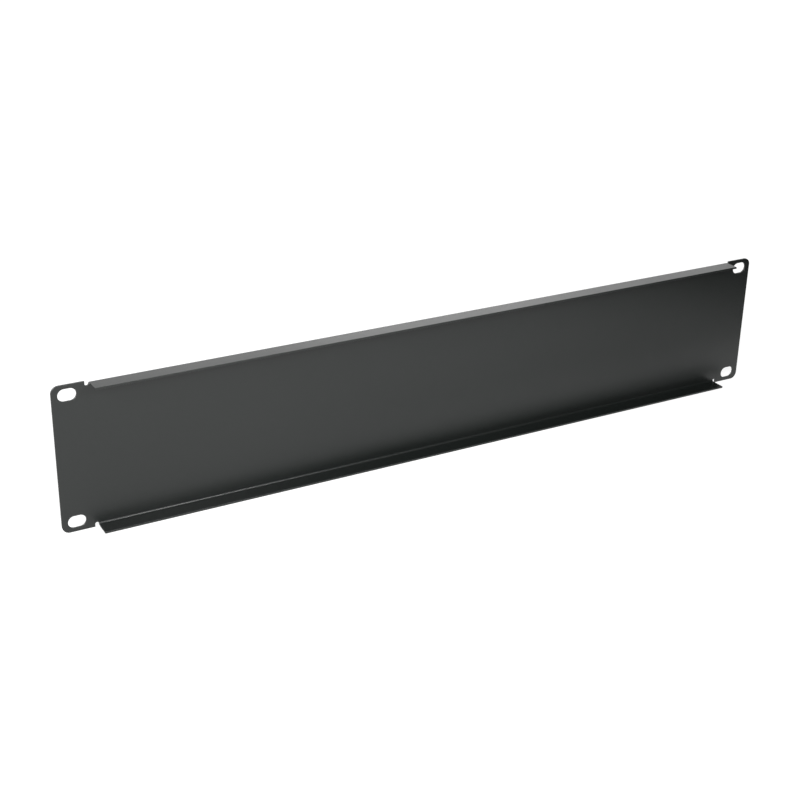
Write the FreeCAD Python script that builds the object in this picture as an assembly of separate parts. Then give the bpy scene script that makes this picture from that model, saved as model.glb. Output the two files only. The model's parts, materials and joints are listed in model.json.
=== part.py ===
"""Rack blanking panel, two rack units high: one steel sheet, punched flat and folded into a shallow channel.

Millimetres. X runs across the rack, Y from its front towards its back, and Z up. The origin is the middle of
the mounting plane: the back of the ears, where they bear on the rack rails, at the centre of the four slots.
The front face of the panel is one sheet thickness in front of it, and the two flanges point backwards.
"""

import FreeCAD
import Part
import math
import os

# The rack's own grid, which sets the height of the panel and the places of its slots.
RACK_UNIT = 44.45
UNITS_HIGH = 2
HEIGHT_CLEARANCE = 0.8      # how much lower a panel is than its rack units, so that neighbours never touch
RAIL_HOLE_INSET = 6.35      # from the edge of a rack unit to the nearest rail hole
PANEL_WIDTH = 482.6
SLOT_INSET = 8.75           # from the end of the panel to the middle of a slot, for rail holes 465.1 apart

# The sheet, its corners and its slots.
SHEET = 1.2
CORNER_RADIUS = 4.5
SLOT_LENGTH = 10.4
SLOT_WIDTH = 7.3

# The folds along the top and bottom edges.
EAR_WIDTH = 20.9            # from the end of the panel to the end of a flange
FLANGE_DEPTH = 11.7         # from the front face to the free edge of a flange
FLANGE_SETBACK = 0.25       # how far a flange lies inside the edge of the ears
BEND_RADIUS = 1.2           # on the inside of a fold

# The relief notches, which keep a fold from tearing the ear beside it.
RELIEF_WIDTH = 2.2
RELIEF_PAST_BEND = 0.1      # how far a notch reaches past the line where the fold starts

# What follows from them.
PANEL_HEIGHT = UNITS_HIGH * RACK_UNIT - HEIGHT_CLEARANCE
SLOT_SPAN = PANEL_WIDTH - 2 * SLOT_INSET
SLOT_RISE = UNITS_HIGH * RACK_UNIT - 2 * RAIL_HOLE_INSET
OUTER_BEND_RADIUS = BEND_RADIUS + SHEET

FRONT = -SHEET
BACK = 0.0
FLANGE_EDGE = FRONT + FLANGE_DEPTH
EAR_TOP = PANEL_HEIGHT / 2
FLANGE_TOP = EAR_TOP - FLANGE_SETBACK
BEND_LINE = FLANGE_TOP - OUTER_BEND_RADIUS
PANEL_END = PANEL_WIDTH / 2
FLANGE_END = PANEL_END - EAR_WIDTH
RELIEF_MIDDLE = FLANGE_END + RELIEF_WIDTH / 2

OVERCUT = 1.0               # how far a cutting tool runs out of the sheet on each side

NODE = "blanking_panel"


def point(x, y, z):
    return FreeCAD.Vector(x, y, z)


def line(start, end):
    return Part.LineSegment(start, end).toShape()


def arc(start, middle, end):
    return Part.Arc(start, middle, end).toShape()


def bend_arc(centre, radius, start, end):
    """One side of a fold in a section of the sheet, between two directions given in degrees from +Y to +Z."""
    def on_arc(angle):
        turn = math.radians(angle)
        return centre + radius * point(0, math.cos(turn), math.sin(turn))

    return arc(on_arc(start), on_arc((start + end) / 2), on_arc(end))


def channel():
    """The folded middle of the panel: a flat web with a flange bent back along its top and its bottom.

    Its section is one closed outline, in which each fold is a pair of arcs about the same centre. It runs to the
    middle of the relief notches, which then cut the flanges to length and round the ends of the folds.
    """
    x = -RELIEF_MIDDLE
    bend_y = FRONT + OUTER_BEND_RADIUS
    upper = point(x, bend_y, BEND_LINE)
    lower = point(x, bend_y, -BEND_LINE)
    inside = FLANGE_TOP - SHEET
    section = [
        line(point(x, FRONT, -BEND_LINE), point(x, FRONT, BEND_LINE)),
        bend_arc(upper, OUTER_BEND_RADIUS, 180, 90),
        line(point(x, bend_y, FLANGE_TOP), point(x, FLANGE_EDGE, FLANGE_TOP)),
        line(point(x, FLANGE_EDGE, FLANGE_TOP), point(x, FLANGE_EDGE, inside)),
        line(point(x, FLANGE_EDGE, inside), point(x, bend_y, inside)),
        bend_arc(upper, BEND_RADIUS, 90, 180),
        line(point(x, BACK, BEND_LINE), point(x, BACK, -BEND_LINE)),
        bend_arc(lower, BEND_RADIUS, 180, 270),
        line(point(x, bend_y, -inside), point(x, FLANGE_EDGE, -inside)),
        line(point(x, FLANGE_EDGE, -inside), point(x, FLANGE_EDGE, -FLANGE_TOP)),
        line(point(x, FLANGE_EDGE, -FLANGE_TOP), point(x, bend_y, -FLANGE_TOP)),
        bend_arc(lower, OUTER_BEND_RADIUS, 270, 180),
    ]
    return Part.Face(Part.Wire(section)).extrude(point(2 * RELIEF_MIDDLE, 0, 0))


def ear(side):
    """The flat end of the panel that lies on a rack rail, with its two outer corners rounded."""
    start = RELIEF_MIDDLE if side > 0 else -PANEL_END
    plate = Part.makeBox(PANEL_END - RELIEF_MIDDLE, SHEET, PANEL_HEIGHT, point(start, FRONT, -EAR_TOP))
    outer_corners = [
        edge
        for edge in plate.Edges
        if abs(edge.tangentAt(edge.FirstParameter).y) > 0.5
        and abs(edge.CenterOfMass.x - side * PANEL_END) < SHEET / 2
    ]
    return plate.makeFillet(CORNER_RADIUS, outer_corners)


def punch(outline, depth):
    """A tool with this outline, which starts in front of the sheet and goes back through it."""
    return Part.Face(outline).extrude(point(0, depth + 2 * OVERCUT, 0))


def slot(x, z):
    """A round-ended slot that lies along the panel, so that the screw can shift a little to meet the rail."""
    y = FRONT - OVERCUT
    radius = SLOT_WIDTH / 2
    reach = (SLOT_LENGTH - SLOT_WIDTH) / 2
    outline = Part.Wire([
        line(point(x - reach, y, z + radius), point(x + reach, y, z + radius)),
        arc(point(x + reach, y, z + radius), point(x + reach + radius, y, z), point(x + reach, y, z - radius)),
        line(point(x + reach, y, z - radius), point(x - reach, y, z - radius)),
        arc(point(x - reach, y, z - radius), point(x - reach - radius, y, z), point(x - reach, y, z + radius)),
    ])
    return punch(outline, SHEET)


def relief(side, up):
    """A round-bottomed notch between the end of a flange and the ear, open to the edge of the sheet."""
    y = FRONT - OVERCUT
    inner = side * FLANGE_END
    outer = side * (FLANGE_END + RELIEF_WIDTH)
    mouth = up * (EAR_TOP + OVERCUT)
    floor = BEND_LINE - RELIEF_PAST_BEND
    shoulder = up * (floor + RELIEF_WIDTH / 2)
    outline = Part.Wire([
        line(point(inner, y, mouth), point(inner, y, shoulder)),
        arc(point(inner, y, shoulder), point(side * RELIEF_MIDDLE, y, up * floor), point(outer, y, shoulder)),
        line(point(outer, y, shoulder), point(outer, y, mouth)),
        line(point(outer, y, mouth), point(inner, y, mouth)),
    ])
    return punch(outline, FLANGE_DEPTH)


def blanking_panel():
    sheet = channel().fuse([ear(-1), ear(1)]).removeSplitter()
    corners = [(side, up) for side in (-1, 1) for up in (-1, 1)]
    slots = [slot(side * SLOT_SPAN / 2, up * SLOT_RISE / 2) for side, up in corners]
    reliefs = [relief(side, up) for side, up in corners]
    return sheet.cut(slots + reliefs).removeSplitter()


def main():
    panel = blanking_panel()
    os.makedirs("parts", exist_ok=True)
    panel.exportStep(os.path.join("parts", NODE + ".step"))
    box = panel.BoundBox
    print(NODE, panel.isValid(), len(panel.Solids), "solid,", len(panel.Faces), "faces,", end=" ")
    print("%.1f x %.1f x %.1f mm, %.0f mm3" % (box.XLength, box.YLength, box.ZLength, panel.Volume))


main()
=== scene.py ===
# %% [markdown]
# # A rack blanking panel
#
# This panel closes two empty rack units at the front of a server rack. It is one steel sheet: a laser or a
# punch cuts it flat, a press brake folds its long edges back into two shallow flanges, and a powder coat
# covers it all over. The lesson follows the same order: cut the blank, fold it, coat it, light it.
#
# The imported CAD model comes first. It is the fixed frame that the panel's sizes and places are read from, so
# that the piece made here lands exactly on the one that was drawn.

# %% Load the frame
import json
import math

import bmesh
import bpy
from mathutils import Matrix, Vector

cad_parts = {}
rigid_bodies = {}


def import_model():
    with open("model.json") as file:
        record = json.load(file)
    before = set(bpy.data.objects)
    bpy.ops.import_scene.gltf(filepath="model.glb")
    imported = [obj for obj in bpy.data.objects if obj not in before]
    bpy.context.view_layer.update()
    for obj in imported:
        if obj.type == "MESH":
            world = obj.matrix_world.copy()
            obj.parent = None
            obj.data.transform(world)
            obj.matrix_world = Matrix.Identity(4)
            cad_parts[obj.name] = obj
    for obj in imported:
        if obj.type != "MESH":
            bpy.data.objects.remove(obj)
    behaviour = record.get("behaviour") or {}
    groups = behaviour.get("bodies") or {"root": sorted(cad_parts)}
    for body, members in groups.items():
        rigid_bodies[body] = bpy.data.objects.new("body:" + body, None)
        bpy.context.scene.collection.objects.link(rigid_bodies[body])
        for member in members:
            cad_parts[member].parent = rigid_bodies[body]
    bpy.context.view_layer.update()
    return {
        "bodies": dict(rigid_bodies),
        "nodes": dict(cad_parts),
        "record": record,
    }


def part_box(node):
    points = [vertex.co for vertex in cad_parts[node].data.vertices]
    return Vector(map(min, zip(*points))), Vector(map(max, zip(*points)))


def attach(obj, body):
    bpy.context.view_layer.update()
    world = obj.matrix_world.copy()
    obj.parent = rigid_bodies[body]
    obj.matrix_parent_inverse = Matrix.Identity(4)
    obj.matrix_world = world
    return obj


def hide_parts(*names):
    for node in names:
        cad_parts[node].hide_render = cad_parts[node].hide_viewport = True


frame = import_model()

NODE = "blanking_panel"
BODY = next(iter(frame["bodies"]))
MM = 0.001
print("node:", NODE, "on body:", BODY)

# %% [markdown]
# ## The sizes of the sheet
#
# A sheet-metal drawing has few numbers: the outline, the thickness, the radius of the fold and the holes.
# The ones that the frame knows are read from it. The flange is whatever lies well behind the ears, so its
# end, its height and its free edge come from the corners of the CAD mesh there. The hole pattern is in the
# record, where it is stated for the person who mounts the panel. The small radii and the notch are the only
# typed values.

# %% Read the sizes
lowest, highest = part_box(NODE)
cad_corners = [corner.co for corner in frame["nodes"][NODE].data.vertices]
sheet = -lowest.y
ear_end = highest.x
ear_top = highest.z
flange_edge = highest.y
behind_the_fold = [corner for corner in cad_corners if corner.y > 0.5 * flange_edge]
flange_end = max(corner.x for corner in behind_the_fold)
flange_top = max(corner.z for corner in behind_the_fold)

pattern = next(m for m in frame["record"]["mounts"] if m["name"] == "rail_slots")["dims"]
slot_x = 0.5 * pattern["spacing_x_mm"] * MM
slot_z = 0.5 * pattern["spacing_y_mm"] * MM
slot_radius = pattern["hole_r_mm"] * MM
slot_reach = 0.5 * pattern["slot_length_mm"] * MM - slot_radius

corner_radius = 4.5 * MM
bend_radius = 1.2 * MM
relief_width = 2.2 * MM
relief_past_bend = 0.1 * MM
soft_edge = 0.15 * MM

bend_line = flange_top - sheet - bend_radius
print("sheet %.2f mm, flange end at %.2f mm" % (sheet / MM, flange_end / MM))
print("flange top at %.2f mm, bend line at %.2f mm" % (flange_top / MM, bend_line / MM))

# %% [markdown]
# ## The blank before it is folded
#
# In the flat, the flanges stand above and below the web, so the blank is taller than the panel. How much
# sheet a fold uses up is the length of its arc in the middle of the thickness, which neither stretches nor
# shrinks. A press-brake operator calls that the bend allowance.
#
# A relief notch at each end of a flange stops the fold from tearing the ear beside it. Its round bottom
# reaches just past the line where the fold starts.
#
# The blank is the same in all four quarters, so only one is drawn, and then mirrored. A round stretch is a
# row of points on a true arc, near enough to one another to look round close up.

# %% Work out the flat pattern
neutral_radius = bend_radius + sheet / 2
bend_allowance = neutral_radius * math.pi / 2
flange_flat = flange_edge - bend_radius
blank_top = bend_line + bend_allowance + flange_flat
print("bend allowance %.3f mm, blank %.2f mm tall" % (bend_allowance / MM, 2 * blank_top / MM))

RELIEF_STEPS = 24
CORNER_STEPS = 20
SLOT_STEPS = 28


def arc(centre, radius, start, end, steps):
    """Points along a round stretch of an outline, from one direction to another in degrees."""
    turns = [math.radians(start + (end - start) * step / steps) for step in range(steps + 1)]
    return [Vector((centre[0] + radius * math.cos(t), centre[1] + radius * math.sin(t))) for t in turns]


def outline_quarter():
    """The blank's upper right quarter, from the end of the flange's free edge down to the end of the ear."""
    relief_radius = relief_width / 2
    relief_centre = (flange_end + relief_radius, bend_line - relief_past_bend + relief_radius)
    corner_centre = (ear_end - corner_radius, ear_top - corner_radius)
    return [
        Vector((flange_end, blank_top)),
        *arc(relief_centre, relief_radius, 180, 360, RELIEF_STEPS),
        Vector((flange_end + relief_width, ear_top)),
        *arc(corner_centre, corner_radius, 90, 0, CORNER_STEPS),
    ]


def whole_outline():
    """The quarter, mirrored into the other three so that the four follow one another round the blank."""
    quarter = outline_quarter()
    right = quarter + [Vector((p.x, -p.y)) for p in reversed(quarter)]
    return right + [Vector((-p.x, p.y)) for p in reversed(right)]


def slot_outline(x, z):
    """A round-ended slot that lies along the panel, so that a screw can shift a little to meet the rail."""
    right = arc((x + slot_reach, z), slot_radius, -90, 90, SLOT_STEPS)
    left = arc((x - slot_reach, z), slot_radius, 90, 270, SLOT_STEPS)
    return right + left


print("outline of the blank:", len(whole_outline()), "points")

# %% [markdown]
# ## Cutting it
#
# A plate with holes could be a box with boolean cuts, but the edges that those leave are hard to round off.
# Blender's 2D curve is a laser cutter instead: the first closed spline is the plate, closed splines inside
# it are holes, extrude gives the thickness, and a small bevel rounds every edge the way the powder coat
# does. The bevel would make the plate grow, so the offset draws the outline in by the same amount.

# %% Cut the blank
EDGE_STEPS = 2
weld_distance = soft_edge / 100


def add_spline(curve, points):
    spline = curve.splines.new("POLY")
    spline.points.add(len(points) - 1)
    for knot, point in zip(spline.points, points):
        knot.co = (point.x, point.y, 0, 1)
    spline.use_cyclic_u = True


def cut_blank():
    curve = bpy.data.curves.new("blank", "CURVE")
    curve.dimensions = "2D"
    curve.fill_mode = "BOTH"
    add_spline(curve, whole_outline())
    for x in (-slot_x, slot_x):
        for z in (-slot_z, slot_z):
            add_spline(curve, slot_outline(x, z))
    curve.extrude = sheet / 2 - soft_edge
    curve.bevel_depth = soft_edge
    curve.bevel_resolution = EDGE_STEPS
    curve.offset = -soft_edge
    plate = bpy.data.objects.new("blank", curve)
    bpy.context.scene.collection.objects.link(plate)
    bpy.context.view_layer.update()
    mesh = bpy.data.meshes.new_from_object(plate.evaluated_get(bpy.context.evaluated_depsgraph_get()))
    bpy.data.objects.remove(plate)
    return mesh


blank = bmesh.new()
blank.from_mesh(cut_blank())
bmesh.ops.remove_doubles(blank, verts=blank.verts, dist=weld_distance)
open_edges = [edge for edge in blank.edges if not edge.is_manifold]
print("blank:", len(blank.verts), "corners,", len(blank.faces), "faces,", len(open_edges), "open edges")

# %% [markdown]
# ## Scoring the fold
#
# A mesh can only bend where it has edges, so the flanges get a row of cuts across the stretch that the fold
# uses up. The first cut, on the bend line itself, runs the whole length. The rest are made only between the
# notches, because the ears stay flat.

# %% Cut lines for the fold
FOLD_STEPS = 14
SNAP = 1e-7              # metres; a corner this near to a cut is taken to lie on it
between_notches = flange_end + relief_width / 2


def flange_part(above):
    """Everything of the blank that lies beyond the bend line on one side and between the notches."""
    faces = []
    for face in blank.faces:
        middle = face.calc_center_median()
        if middle.y * above > bend_line and abs(middle.x) < between_notches:
            faces.append(face)
    edges = {edge for face in faces for edge in face.edges}
    corners = {corner for face in faces for corner in face.verts}
    return faces + list(edges) + list(corners)


def score(height, parts):
    bmesh.ops.bisect_plane(blank, geom=parts, dist=SNAP, plane_co=(0, height, 0), plane_no=(0, 1, 0))


for above in (1, -1):
    score(above * bend_line, blank.faces[:] + blank.edges[:] + blank.verts[:])
    for step in range(1, FOLD_STEPS + 1):
        score(above * (bend_line + bend_allowance * step / FOLD_STEPS), flange_part(above))
print("scored blank:", len(blank.verts), "corners")

# %% [markdown]
# ## Folding it
#
# The blank was drawn lying flat in x and y, with its thickness in z. Folding carries every corner to its
# place on the finished panel. Web and ears only stand up. In the fold, the distance past the bend line
# becomes an angle round the fold's axis, and past the fold the flange runs straight back.
#
# A bend modifier could do it too, but a formula for one corner is shorter, and it leaves the ears alone.

# %% Fold the flanges
def folded(corner):
    x, height, depth = corner
    above = math.copysign(1, height)
    past = abs(height) - bend_line
    outward = depth + sheet / 2
    if past <= 0 or abs(x) > between_notches:
        return Vector((x, -outward, height))
    radius = bend_radius + outward
    if past < bend_allowance:
        turn = past / neutral_radius
        back = bend_radius - radius * math.cos(turn)
        rise = radius * math.sin(turn)
        return Vector((x, back, above * (bend_line + rise)))
    return Vector((x, bend_radius + past - bend_allowance, above * (bend_line + radius)))


for corner in blank.verts:
    corner.co = folded(corner.co)
bmesh.ops.recalc_face_normals(blank, faces=blank.faces)
steel = blank.calc_volume()
print("folded: %.0f cubic mm of steel" % (steel / MM**3))

# %% [markdown]
# ## The finished piece
#
# The folded mesh becomes an object, which stands in for the CAD solid and rides on the panel's body. Smooth
# shading alone would make the flat faces look swollen beside their rounded edges. Weighted normals keep a
# big flat face flat and let the small faces round it do the turning.

# %% Stand the panel up
for face in blank.faces:
    face.smooth = True
panel_mesh = bpy.data.meshes.new("folded_panel")
blank.to_mesh(panel_mesh)
blank.free()

panel = bpy.data.objects.new("folded_panel", panel_mesh)
bpy.context.scene.collection.objects.link(panel)
normals = panel.modifiers.new("flat faces, round edges", "WEIGHTED_NORMAL")
normals.keep_sharp = True
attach(panel, BODY)
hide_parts(NODE)
print("panel:", len(panel_mesh.vertices), "corners,", len(panel_mesh.polygons), "faces")

# %% [markdown]
# ## Mixing a finish
#
# Every finish here starts from the Principled shader, which can be told to look like plastic, paint or
# metal. Two small helpers save repeating its wiring: one makes a named finish, and the other carries a value
# over from one range to another.

# %% Helpers for a finish
def new_finish(name):
    finish = bpy.data.materials.new(name)
    finish.use_nodes = True
    return finish, finish.node_tree.nodes["Principled BSDF"]


def map_range(tree, source, start, end, low, high):
    """Low where the source is at its start, high where it is at its end, and in proportion between them."""
    between = tree.nodes.new("ShaderNodeMapRange")
    between.inputs["From Min"].default_value = start
    between.inputs["From Max"].default_value = end
    between.inputs["To Min"].default_value = low
    between.inputs["To Max"].default_value = high
    tree.links.new(source, between.inputs["Value"])
    return between.outputs["Result"]


print("materials that came with the frame:", len(bpy.data.materials))

# %% [markdown]
# ## The skin of powder coat
#
# Powder coat is plastic that melts onto the steel in an oven. Its grains flow together and leave a very
# shallow orange peel, a little under a millimetre across, with a much finer grain over it.
#
# The steel keeps its shape under it, so the peel is a bump and not a change to the mesh: it only tilts the
# way the surface catches the light. Noise makes the pattern. It is laid out in the panel's own coordinates,
# so that one unit is a metre and the noise can be given its size on the real sheet.

# %% Peel and grain
PEEL_SIZE = 0.8 * MM
PEEL_DEPTH = 0.08 * MM
GRAIN_SIZE = 0.25 * MM
GRAIN_DEPTH = 0.003 * MM
BUMP_STRENGTH = 0.5


def noise(tree, place, size, detail):
    pattern = tree.nodes.new("ShaderNodeTexNoise")
    pattern.inputs["Scale"].default_value = 1 / size
    pattern.inputs["Detail"].default_value = detail
    tree.links.new(place, pattern.inputs["Vector"])
    return pattern.outputs["Fac"]


def bump(tree, height, depth):
    waves = tree.nodes.new("ShaderNodeBump")
    waves.inputs["Distance"].default_value = depth
    waves.inputs["Strength"].default_value = BUMP_STRENGTH
    tree.links.new(height, waves.inputs["Height"])
    return waves


print("peel %.2f mm across, grain %.2f mm across" % (PEEL_SIZE / MM, GRAIN_SIZE / MM))

# %% [markdown]
# ## Black powder coat
#
# The coat is a deep black with a satin skin, which gives a fairly sharp sheen at a low angle. The grain also
# shifts the black very slightly, and a third noise, about as broad as a hand, makes the sheen a little
# uneven, so that the big flat web doesn't look like a sheet of glass.

# %% Mix the powder coat
DEEP_BLACK = (0.0081, 0.0101, 0.0093, 1)
LIGHTER_BLACK = (0.0091, 0.0113, 0.0104, 1)
SATIN = (0.34, 0.37)
CLOUD_SIZE = 60 * MM
NOISE_LOW = 0.3
NOISE_HIGH = 0.7


def powder_coat():
    coat, skin = new_finish("black_powder_coat")
    tree = coat.node_tree
    place = tree.nodes.new("ShaderNodeTexCoord").outputs["Object"]
    peel = noise(tree, place, PEEL_SIZE, detail=1.0)
    grain = noise(tree, place, GRAIN_SIZE, detail=2.0)
    cloud = noise(tree, place, CLOUD_SIZE, detail=2.0)

    shade = tree.nodes.new("ShaderNodeValToRGB")
    low_stop, high_stop = shade.color_ramp.elements
    low_stop.position = NOISE_LOW
    low_stop.color = DEEP_BLACK
    high_stop.position = NOISE_HIGH
    high_stop.color = LIGHTER_BLACK
    tree.links.new(grain, shade.inputs["Fac"])
    tree.links.new(shade.outputs["Color"], skin.inputs["Base Color"])
    tree.links.new(map_range(tree, cloud, NOISE_LOW, NOISE_HIGH, *SATIN), skin.inputs["Roughness"])
    skin.inputs["IOR"].default_value = 1.5

    flowed = bump(tree, peel, PEEL_DEPTH)
    grit = bump(tree, grain, GRAIN_DEPTH)
    tree.links.new(flowed.outputs["Normal"], grit.inputs["Normal"])
    tree.links.new(grit.outputs["Normal"], skin.inputs["Normal"])
    return coat


panel_mesh.materials.append(powder_coat())
print("finish:", panel_mesh.materials[0].name, "with a roughness of", SATIN[0], "to", SATIN[1])

# %% [markdown]
# ## The white surround
#
# A catalogue picture has a pure white ground, yet a black part lit by that much white would turn grey. So
# the white that is seen is kept apart from the white that lights. The surround shows its full white to the
# camera and to the sheen, and a plainer level to everything else. Light Path tells the two kinds of ray
# apart, and the floor needs the same switch, so it is a function.

# %% Surround
SURROUND_LIGHT = 0.25


def arithmetic(tree, operation, first, second):
    result = tree.nodes.new("ShaderNodeMath")
    result.operation = operation
    tree.links.new(first, result.inputs[0])
    tree.links.new(second, result.inputs[1])
    return result.outputs[0]


def white_for_the_eye(tree):
    """One where the camera, a reflection or glass looks, and nought for the light that falls on things."""
    path = tree.nodes.new("ShaderNodeLightPath")
    seen = path.outputs["Is Camera Ray"]
    for ray in ("Is Glossy Ray", "Is Transmission Ray"):
        seen = arithmetic(tree, "MAXIMUM", seen, path.outputs[ray])
    return seen


def surround(level):
    world = bpy.data.worlds.new("studio")
    bpy.context.scene.world = world
    world.use_nodes = True
    tree = world.node_tree
    sky = tree.nodes["Background"]
    sky.inputs["Color"].default_value = (1, 1, 1, 1)
    tree.links.new(map_range(tree, white_for_the_eye(tree), 0, 1, level, 1), sky.inputs["Strength"])
    print("surround lights things at", level)


surround(SURROUND_LIGHT)

# %% [markdown]
# ## The floor's paint
#
# The panel stands on a matte pale floor, which keeps its shadow. The lamps light the floor well near the
# panel and less far out, so the floor also gives off a little white of its own to the eye, and more of it
# farther out. That way the ground runs into the surround with no line between them.

# %% Mix the floor paint
FLOOR_COLOUR = 0.45
NEAR_LIFT = 0.76
LIFT_STARTS = 0.35
LIFT_ENDS = 1.0


def floor_paint():
    paint, skin = new_finish("white_floor")
    tree = paint.node_tree
    skin.inputs["Base Color"].default_value = (FLOOR_COLOUR, FLOOR_COLOUR, FLOOR_COLOUR, 1)
    skin.inputs["Roughness"].default_value = 1.0
    skin.inputs["Specular IOR Level"].default_value = 0.0
    skin.inputs["Emission Color"].default_value = (1, 1, 1, 1)

    place = tree.nodes.new("ShaderNodeTexCoord")
    distance = tree.nodes.new("ShaderNodeVectorMath")
    distance.operation = "LENGTH"
    tree.links.new(place.outputs["Object"], distance.inputs[0])
    lift = map_range(tree, distance.outputs["Value"], LIFT_STARTS, LIFT_ENDS, NEAR_LIFT, 1)
    glow = arithmetic(tree, "MULTIPLY", white_for_the_eye(tree), lift)
    tree.links.new(glow, skin.inputs["Emission Strength"])
    return paint


print("floor lifted by", NEAR_LIFT, "near the panel and by 1 from", LIFT_ENDS, "m out")

# %% [markdown]
# ## Laying the floor
#
# The floor is one big flat face at the height of the panel's foot, and the cards further on are flat faces
# too, so one function makes them all.

# %% Lay the floor
def flat_shape(name, corners, material):
    """A single flat face of the studio, which is no part of the panel."""
    mesh = bpy.data.meshes.new(name)
    mesh.from_pydata(corners, [], [tuple(range(len(corners)))])
    mesh.materials.append(material)
    shape = bpy.data.objects.new(name, mesh)
    bpy.context.scene.collection.objects.link(shape)
    return shape


FLOOR_HALF = 3.0
ground = lowest.z
quarters = [(-1, -1), (1, -1), (1, 1), (-1, 1)]
flat_shape("floor", [(x * FLOOR_HALF, y * FLOOR_HALF, ground) for x, y in quarters], floor_paint())
print("floor at %.2f mm" % (ground / MM))

# %% [markdown]
# ## Soft boxes
#
# A soft box is an area lamp, and here all of them face the middle of the panel. What matters for one is how
# bright its face looks, so that is what is given, and the power follows from the size of the face. The key
# stands beyond the end of the panel that the camera is nearer to, and the front box fills in the web. The
# fold box is small and close, so that it draws a bright line along the inside of the lower fold that dies
# away towards the far end. Those behind light the top flange, the front face and the floor behind it.

# %% Lamps
def soft_box(name, place, size, brightness):
    lamp = bpy.data.lights.new(name, "AREA")
    lamp.shape = "RECTANGLE"
    lamp.size, lamp.size_y = size
    lamp.energy = brightness * math.pi * size[0] * size[1]
    box = bpy.data.objects.new(name, lamp)
    box.location = place
    box.rotation_euler = (-Vector(place)).to_track_quat("-Z", "Y").to_euler()
    bpy.context.scene.collection.objects.link(box)
    print("%s: %.1f W" % (name, lamp.energy))


soft_box("key_box", place=(0.9, 0.35, 0.5), size=(0.5, 0.5), brightness=9.6)
soft_box("front_box", place=(0.15, 0.9, 0.15), size=(0.5, 0.4), brightness=2.0)
soft_box("fold_box", place=(0.042, 0.326, 0.25), size=(0.135, 0.09), brightness=30.0)
soft_box("back_box", place=(-0.5, -0.9, 0.45), size=(0.9, 0.3), brightness=1.0)
soft_box("rim_box", place=(-0.52, -0.90, 0.42), size=(0.32, 0.25), brightness=1.0)
soft_box("front_side_box", place=(0.8, -1.0, 0.6), size=(0.8, 0.6), brightness=4.0)

# %% [markdown]
# ## Black cards
#
# A satin black face shows its shape by what it mirrors, so what it should not mirror is hidden from it with
# black cards. They are seen in the sheen alone: they have no shadow and the camera looks through them. One
# stands off to the side, so that the far end of the web falls away darker than the near end. Two narrow ones
# lie at the panel's foot, where they deepen the shade above the lower flange towards that same end.
#
# Each card is given by the places of its corners on the floor. The side card rises from its two.

# %% Cards
SIDE_CARD_HEIGHT = 0.62
SIDE_CARD = [(-0.59, -0.14), (0.02, 0.47)]
FOOT_WEDGE = [(0.25, 0.013), (-0.24, 0.013), (-0.24, 0.0235), (0.2, 0.015)]
FOOT_STRIP = [(0.1, 0.065), (-0.34, 0.06), (-0.34, 0.082)]
CARD_COLOUR = 0.01
clear_of_the_floor = ground + 0.6 * MM


def black_card(name, corners):
    black, skin = new_finish(name)
    skin.inputs["Base Color"].default_value = (CARD_COLOUR, CARD_COLOUR, CARD_COLOUR, 1)
    skin.inputs["Roughness"].default_value = 1.0
    card = flat_shape(name, corners, black)
    card.visible_camera = False
    card.visible_diffuse = False
    card.visible_shadow = False
    print(name, "with", len(corners), "corners")


side_foot = [(x, y, ground) for x, y in SIDE_CARD]
side_head = [(x, y, ground + SIDE_CARD_HEIGHT) for x, y in reversed(SIDE_CARD)]
black_card("side_card", side_foot + side_head)
black_card("foot_wedge", [(x, y, clear_of_the_floor) for x, y in FOOT_WEDGE])
black_card("foot_strip", [(x, y, clear_of_the_floor) for x, y in FOOT_STRIP])

# %% [markdown]
# ## The camera
#
# It looks down on the back of the panel from its left, close enough that the near end stands taller than
# the far one. Turning it round the upright first, then tipping it, then rolling it a touch, gives three
# angles that can be changed one at a time.

# %% Set up the camera
AZIMUTH = 150.194
ELEVATION = 24.135
ROLL = 1.13
CAMERA_PLACE = (0.4276, 0.69545, 0.3529)
LENS = 65.24
FILM_WIDTH = 36

camera = bpy.data.objects.new("camera", bpy.data.cameras.new("camera"))
camera.data.lens = LENS
camera.data.sensor_width = FILM_WIDTH
camera.data.clip_start = 0.01
turned = Matrix.Rotation(math.radians(AZIMUTH), 4, "Z")
tipped = Matrix.Rotation(math.radians(90 - ELEVATION), 4, "X")
rolled = Matrix.Rotation(math.radians(ROLL), 4, "Z")
camera.matrix_world = Matrix.Translation(CAMERA_PLACE) @ (turned @ tipped) @ rolled
bpy.context.scene.collection.objects.link(camera)
bpy.context.scene.camera = camera
bpy.context.scene.view_settings.view_transform = "Standard"
print("camera at", [round(c / MM, 1) for c in CAMERA_PLACE])
